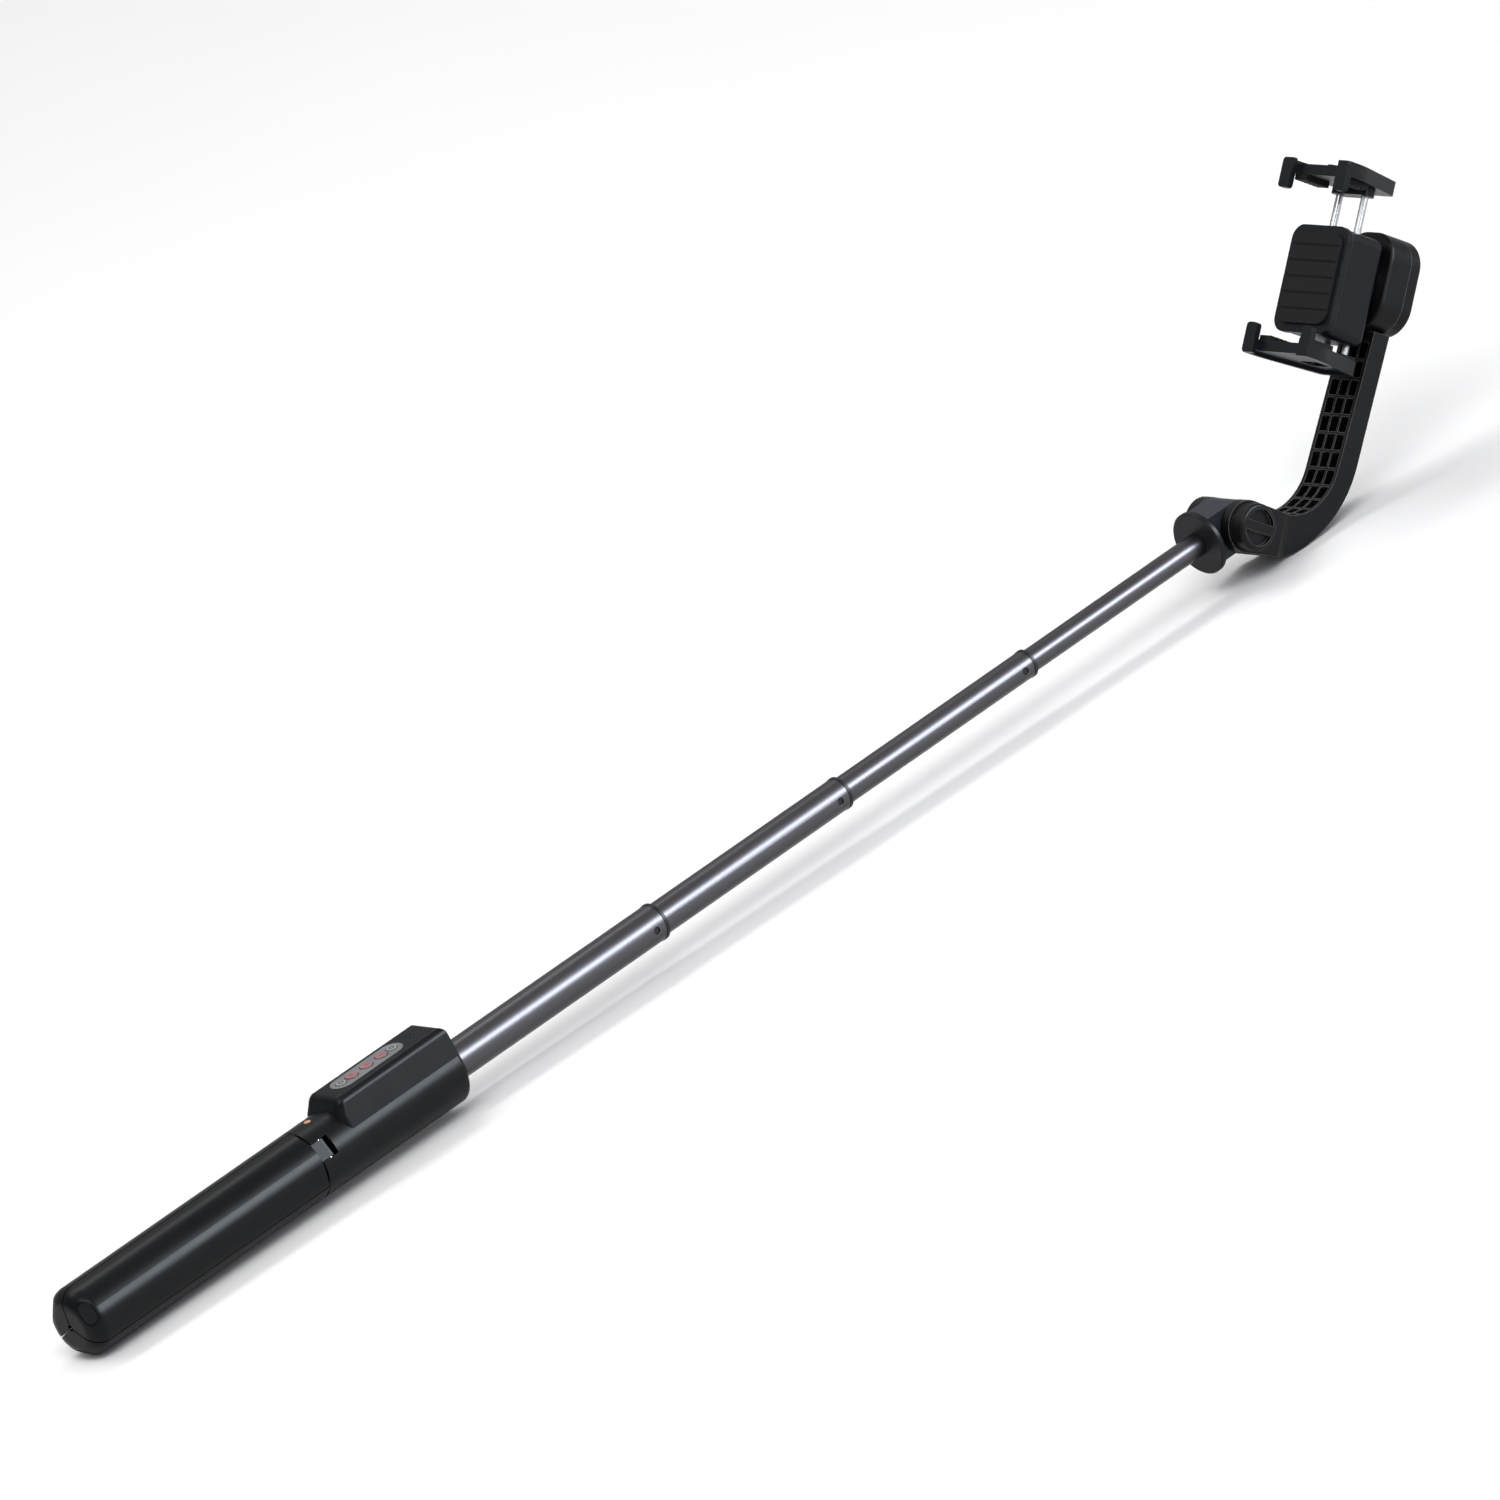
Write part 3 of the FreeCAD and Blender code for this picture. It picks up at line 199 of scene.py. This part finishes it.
def make_materials():
    turned = (0.15, 1, 1)
    gloss = {"grain": 1400, "depth": 0.0012, "spread": 0.1, "rough_spread": 0.02, "gleam": 0.13}
    satin = {"grain": 1900, "depth": 0.012, "spread": 0.12, "rough_spread": 0.04, "gleam": 0.15}
    fine = {"grain": 2200, "depth": 0.008, "spread": 0.1, "rough_spread": 0.04, "gleam": 0.3}
    return {
        # The lighter edge colours below are painted highlights along the edges of each material.
        "grip_plastic": solid("grip_plastic", (0.0028, 0.0033, 0.0042), 0.31,
                              edge_highlight_colour=(0.03, 0.032, 0.036), edge_highlight_amount=0.4, **gloss),
        "housing_plastic": solid("housing_plastic", (0.0032, 0.0037, 0.0047), 0.34,
                                 edge_highlight_colour=(0.03, 0.032, 0.036), edge_highlight_amount=0.4, **gloss),
        "bezel_plastic": solid("bezel_plastic", (0.17, 0.175, 0.19), 0.38,
                               edge_highlight_colour=(0.3, 0.3, 0.32), **fine),
        "button_plastic": solid("button_plastic", (0.26, 0.265, 0.28), 0.36,
                                edge_highlight_colour=(0.45, 0.45, 0.47), **fine),
        "key_plastic": solid("key_plastic", (0.27, 0.14, 0.147), 0.36,
                             edge_highlight_colour=(0.5, 0.34, 0.34), **fine),
        # Amber lens colour made bright, with pale edges, as a painted glint at the status light; the part
        # is not a lamp.
        "light_window": solid("light_window", (0.62, 0.3, 0.14), 0.18, grain=1200, depth=0.004, coat=0.6,
                              edge_highlight_colour=(0.9, 0.65, 0.45)),
        "foot_rubber": ribbed_rubber("foot_rubber", (0.008, 0.009, 0.01)),
        "board": solid("board", (0.01, 0.09, 0.04), 0.4, grain=2500, depth=0.02),
        "battery": solid("battery", (0.2, 0.26, 0.4), 0.35, metal=0.4, grain=700, depth=0.02),
        "tube_metal": solid("tube_metal", (0.078, 0.074, 0.08), 0.34, metal=1.0, grain=2600, depth=0.0012,
                            spread=0.06, rough_spread=0.02, stretch=turned, edge_highlight_colour=(0.3, 0.3, 0.31)),
        "bush_plastic": solid("bush_plastic", (0.006, 0.006, 0.007), 0.4,
                              edge_highlight_colour=(0.05, 0.05, 0.055), edge_highlight_amount=0.3, **fine),
        "head_plastic": solid("head_plastic", (0.008, 0.0085, 0.01), 0.36,
                              edge_highlight_colour=(0.09, 0.09, 0.1), **satin),
        "block_plastic": solid("block_plastic", (0.028, 0.032, 0.04), 0.34,
                               edge_highlight_colour=(0.12, 0.125, 0.14), **satin),
        # Strongest painted edge highlight: grey along the arm's rib edges.
        "arm_plastic": solid("arm_plastic", (0.0035, 0.0037, 0.0042), 0.38, edge=0.4 * MM,
                             edge_highlight_colour=(0.32, 0.32, 0.33), edge_highlight_amount=0.85, **satin),
        "clamp_plastic": solid("clamp_plastic", (0.005, 0.0065, 0.0095), 0.38,
                               edge_highlight_colour=(0.06, 0.068, 0.08), **satin),
        "pad_rubber": ribbed_rubber("pad_rubber", (0.009, 0.009, 0.01)),
        "steel": solid("steel", (0.4, 0.4, 0.41), 0.28, metal=1.0, grain=2500, depth=0.004, spread=0.08,
                       edge_highlight_colour=(0.75, 0.75, 0.75)),
        "copper": solid("copper", (0.6, 0.28, 0.12), 0.3, metal=0.9, grain=2500, depth=0.04),
        "red_mark": solid("red_mark", (0.5, 0.03, 0.025), 0.35, grain=2200, depth=0.005),
        # Dark colour of the printed rings on the end buttons, also used for the painted shade band round
        # the control panel.
        "dark_print_and_gap_shade": solid("dark_print_and_gap_shade", (0.02, 0.02, 0.024), 0.45, grain=2200, depth=0.005),
    }


def dress_nodes(materials):
    """Gives each CAD node the material of its slot in the record."""
    for part in frame["record"]["subparts"]:
        node = frame["nodes"][part["node"]]
        for place in node.material_slots:
            place.link = "OBJECT"
            place.material = materials[part["material_slot"]]


# ---- small raised marks on the controls ----
def finish_piece(mesh, name, body, material):
    data = bpy.data.meshes.new(name)
    bmesh.ops.recalc_face_normals(mesh, faces=mesh.faces)
    mesh.to_mesh(data)
    mesh.free()
    data.materials.append(material)
    piece = bpy.data.objects.new(name, data)
    bpy.context.collection.objects.link(piece)
    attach(piece, body)


def raised_band(mesh, outline, inner, base, top):
    """A closed band between an outer and an inner loop of (x, y) points, from height base to top."""
    loops = [[mesh.verts.new((x, y, z)) for x, y in loop]
             for loop, z in ((outline, base), (outline, top), (inner, top), (inner, base))]
    count = len(outline)
    for ring in range(4):
        first = loops[ring]
        second = loops[(ring + 1) % 4]
        for i in range(count):
            j = (i + 1) % count
            mesh.faces.new((first[i], first[j], second[j], second[i]))


def circle(x, y, radius, count=32):
    step = 2 * math.pi / count
    return [(x + radius * math.cos(i * step), y + radius * math.sin(i * step)) for i in range(count)]


def domed_dot(mesh, x, y, radius, base, height):
    """A low dome, closed underneath."""
    rings = 5
    count = 24
    loops = []
    for i in range(rings):
        lean = math.pi / 2 * i / rings
        z = base + height * math.sin(lean)
        outline = circle(x, y, radius * math.cos(lean), count)
        loops.append([mesh.verts.new((px, py, z)) for px, py in outline])
    tip = mesh.verts.new((x, y, base + height))
    for low, high in zip(loops, loops[1:]):
        for i in range(count):
            j = (i + 1) % count
            mesh.faces.new((low[i], low[j], high[j], high[i]))
    for i in range(count):
        mesh.faces.new((loops[-1][i], loops[-1][(i + 1) % count], tip))
    mesh.faces.new(loops[0][::-1])


def pill_outline(low, high, grow, count=16):
    """Round-ended outline of a box seen from above, grown by a margin."""
    radius = (high[1] - low[1]) / 2 + grow
    y = (low[1] + high[1]) / 2
    points = []
    for x, first in ((high[0] + grow - radius, -90), (low[0] - grow + radius, 90)):
        for i in range(count + 1):
            angle = math.radians(first + 180 * i / count)
            points.append((x + radius * math.cos(angle), y + radius * math.sin(angle)))
    return points


def panel_gap_shade(materials):
    """Painted shade: a dark line round the control panel, standing in for the shaded gap between bezel and
    housing.
    """
    low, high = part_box("control_bezel")
    face = high[2] - GAP_SHADE_BELOW_BEZEL
    mesh = bmesh.new()
    outer = pill_outline(low, high, GAP_SHADE_OUTER_MARGIN)
    inner = pill_outline(low, high, GAP_SHADE_INNER_MARGIN)
    # Painted shade: a thin dark band laid over the gap round the bezel.
    raised_band(mesh, outer, inner, face - GAP_SHADE_SUNK, face + GAP_SHADE_PROUD)
    finish_piece(mesh, "panel_gap_shade", "handle", materials["dark_print_and_gap_shade"])


def key_marks(materials):
    """Generic marks: a small dark ring on each end button and a raised red dot on each key."""
    for button in ("end_button_low", "end_button_high", "key_low", "key_middle", "key_high"):
        low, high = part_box(button)
        x = (low[0] + high[0]) / 2
        y = (low[1] + high[1]) / 2
        base = high[2] - MARK_SINK
        mesh = bmesh.new()
        if button.startswith("end"):
            raised_band(mesh, circle(x, y, RING_OUTER), circle(x, y, RING_INNER), base, base + RING_HEIGHT)
            finish_piece(mesh, button + "_mark", button, materials["dark_print_and_gap_shade"])
        else:
            domed_dot(mesh, x, y, DOT_RADIUS, base, DOT_HEIGHT)
            finish_piece(mesh, button + "_mark", button, materials["red_mark"])


# ---- stage, light and camera ----
def make_floor():
    """Pale floor, leaning with the stick where it rests on the grip and on the arm's bend."""
    grip_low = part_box("leg_rear")[0]
    arm_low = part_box("gimbal_arm")[0]
    rest_x = arm_low[0] + ARM_REST_BEYOND_LOW
    slope = math.atan2(grip_low[2] - arm_low[2], rest_x)
    data = bpy.data.meshes.new("floor")
    half = FLOOR_HALF
    corners = [(-half, -half, 0), (half, -half, 0), (half, half, 0), (-half, half, 0)]
    data.from_pydata(corners, [], [(0, 1, 2, 3)])
    floor = bpy.data.objects.new("floor", data)
    bpy.context.collection.objects.link(floor)
    lowered = Matrix.Translation((0, 0, grip_low[2] - FLOOR_GAP))
    floor.matrix_world = lowered @ Matrix.Rotation(slope, 4, "Y")
    material, nodes, links, shader = new_material("pale_floor")
    vector = place_vector(nodes, links, (1, 1, 1))
    patches = noise(nodes, links, vector, 3.0)
    tone = blend_colours(nodes, links, patches, (0.93, 0.93, 0.935, 1), (0.96, 0.96, 0.965, 1))
    links.new(tone, shader.inputs["Base Color"])
    shader.inputs["Roughness"].default_value = 0.85
    data.materials.append(material)


def area_light(name, place, size, power, colour=(1.0, 1.0, 1.0), lights_floor=True):
    """Rectangular lamp aimed at the middle of the stick. Without lights_floor it shows only as a gleam."""
    data = bpy.data.lights.new(name, "AREA")
    data.shape = "RECTANGLE"
    data.size = size[0]
    data.size_y = size[1]
    data.energy = power
    data.color = colour
    lamp = bpy.data.objects.new(name, data)
    bpy.context.collection.objects.link(lamp)
    lamp.location = place
    lamp.rotation_euler = (Vector(LIGHT_TARGET) - Vector(place)).to_track_quat("-Z", "Y").to_euler()
    lamp.visible_diffuse = lights_floor


def make_light():
    """Soft studio: a sky that is bright overhead and dim at the horizon, a large key and two strips."""
    world = bpy.data.worlds.new("studio")
    world.use_nodes = True
    nodes = world.node_tree.nodes
    links = world.node_tree.links
    direction = nodes.new("ShaderNodeTexCoord")
    parts = nodes.new("ShaderNodeSeparateXYZ")
    links.new(direction.outputs["Generated"], parts.inputs["Vector"])
    height = to_range(nodes, links, parts.outputs["Z"], 0.0, 1.0, 0.05, 0.75)
    links.new(blend_colours(nodes, links, height, (0.34, 0.35, 0.37, 1), (1.0, 1.0, 1.0, 1)),
              nodes["Background"].inputs["Color"])
    nodes["Background"].inputs["Strength"].default_value = SKY_STRENGTH
    bpy.context.scene.world = world
    bpy.context.scene.view_settings.view_transform = "Standard"
    area_light("key", (-0.7, -1.3, 2.5), (2.4, 1.2), 38)
    area_light("top_strip", (0.4, 0.9, 1.9), (2.6, 0.4), 16)
    area_light("side_strip", (1.75, -1.75, 0.9), (2.2, 0.7), 120, (0.84, 0.92, 1.0), lights_floor=False)


def make_camera():
    """Long lens from the knob's side, above the grip's end, with the roll of the reference view."""
    azimuth = math.radians(CAMERA_AZIMUTH)
    elevation = math.radians(CAMERA_ELEVATION)
    roll = math.radians(CAMERA_ROLL)
    back = Vector((math.sin(azimuth) * math.cos(elevation), -math.cos(azimuth) * math.cos(elevation),
                   math.sin(elevation)))
    level = Vector((math.cos(azimuth), math.sin(azimuth), 0))
    upright = back.cross(level)
    right = level * math.cos(roll) - upright * math.sin(roll)
    up = back.cross(right)
    data = bpy.data.cameras.new("camera")
    data.lens = CAMERA_LENS
    data.sensor_width = 36
    data.clip_end = 200
    camera = bpy.data.objects.new("camera", data)
    bpy.context.collection.objects.link(camera)
    turn = Matrix((right, up, back)).transposed().to_4x4()
    camera.matrix_world = Matrix.Translation(Vector(CAMERA_AIM) + back * CAMERA_DISTANCE) @ turn
    bpy.context.scene.camera = camera


make_camera()
make_light()
make_floor()
MATERIALS = make_materials()
dress_nodes(MATERIALS)
panel_gap_shade(MATERIALS)
key_marks(MATERIALS)
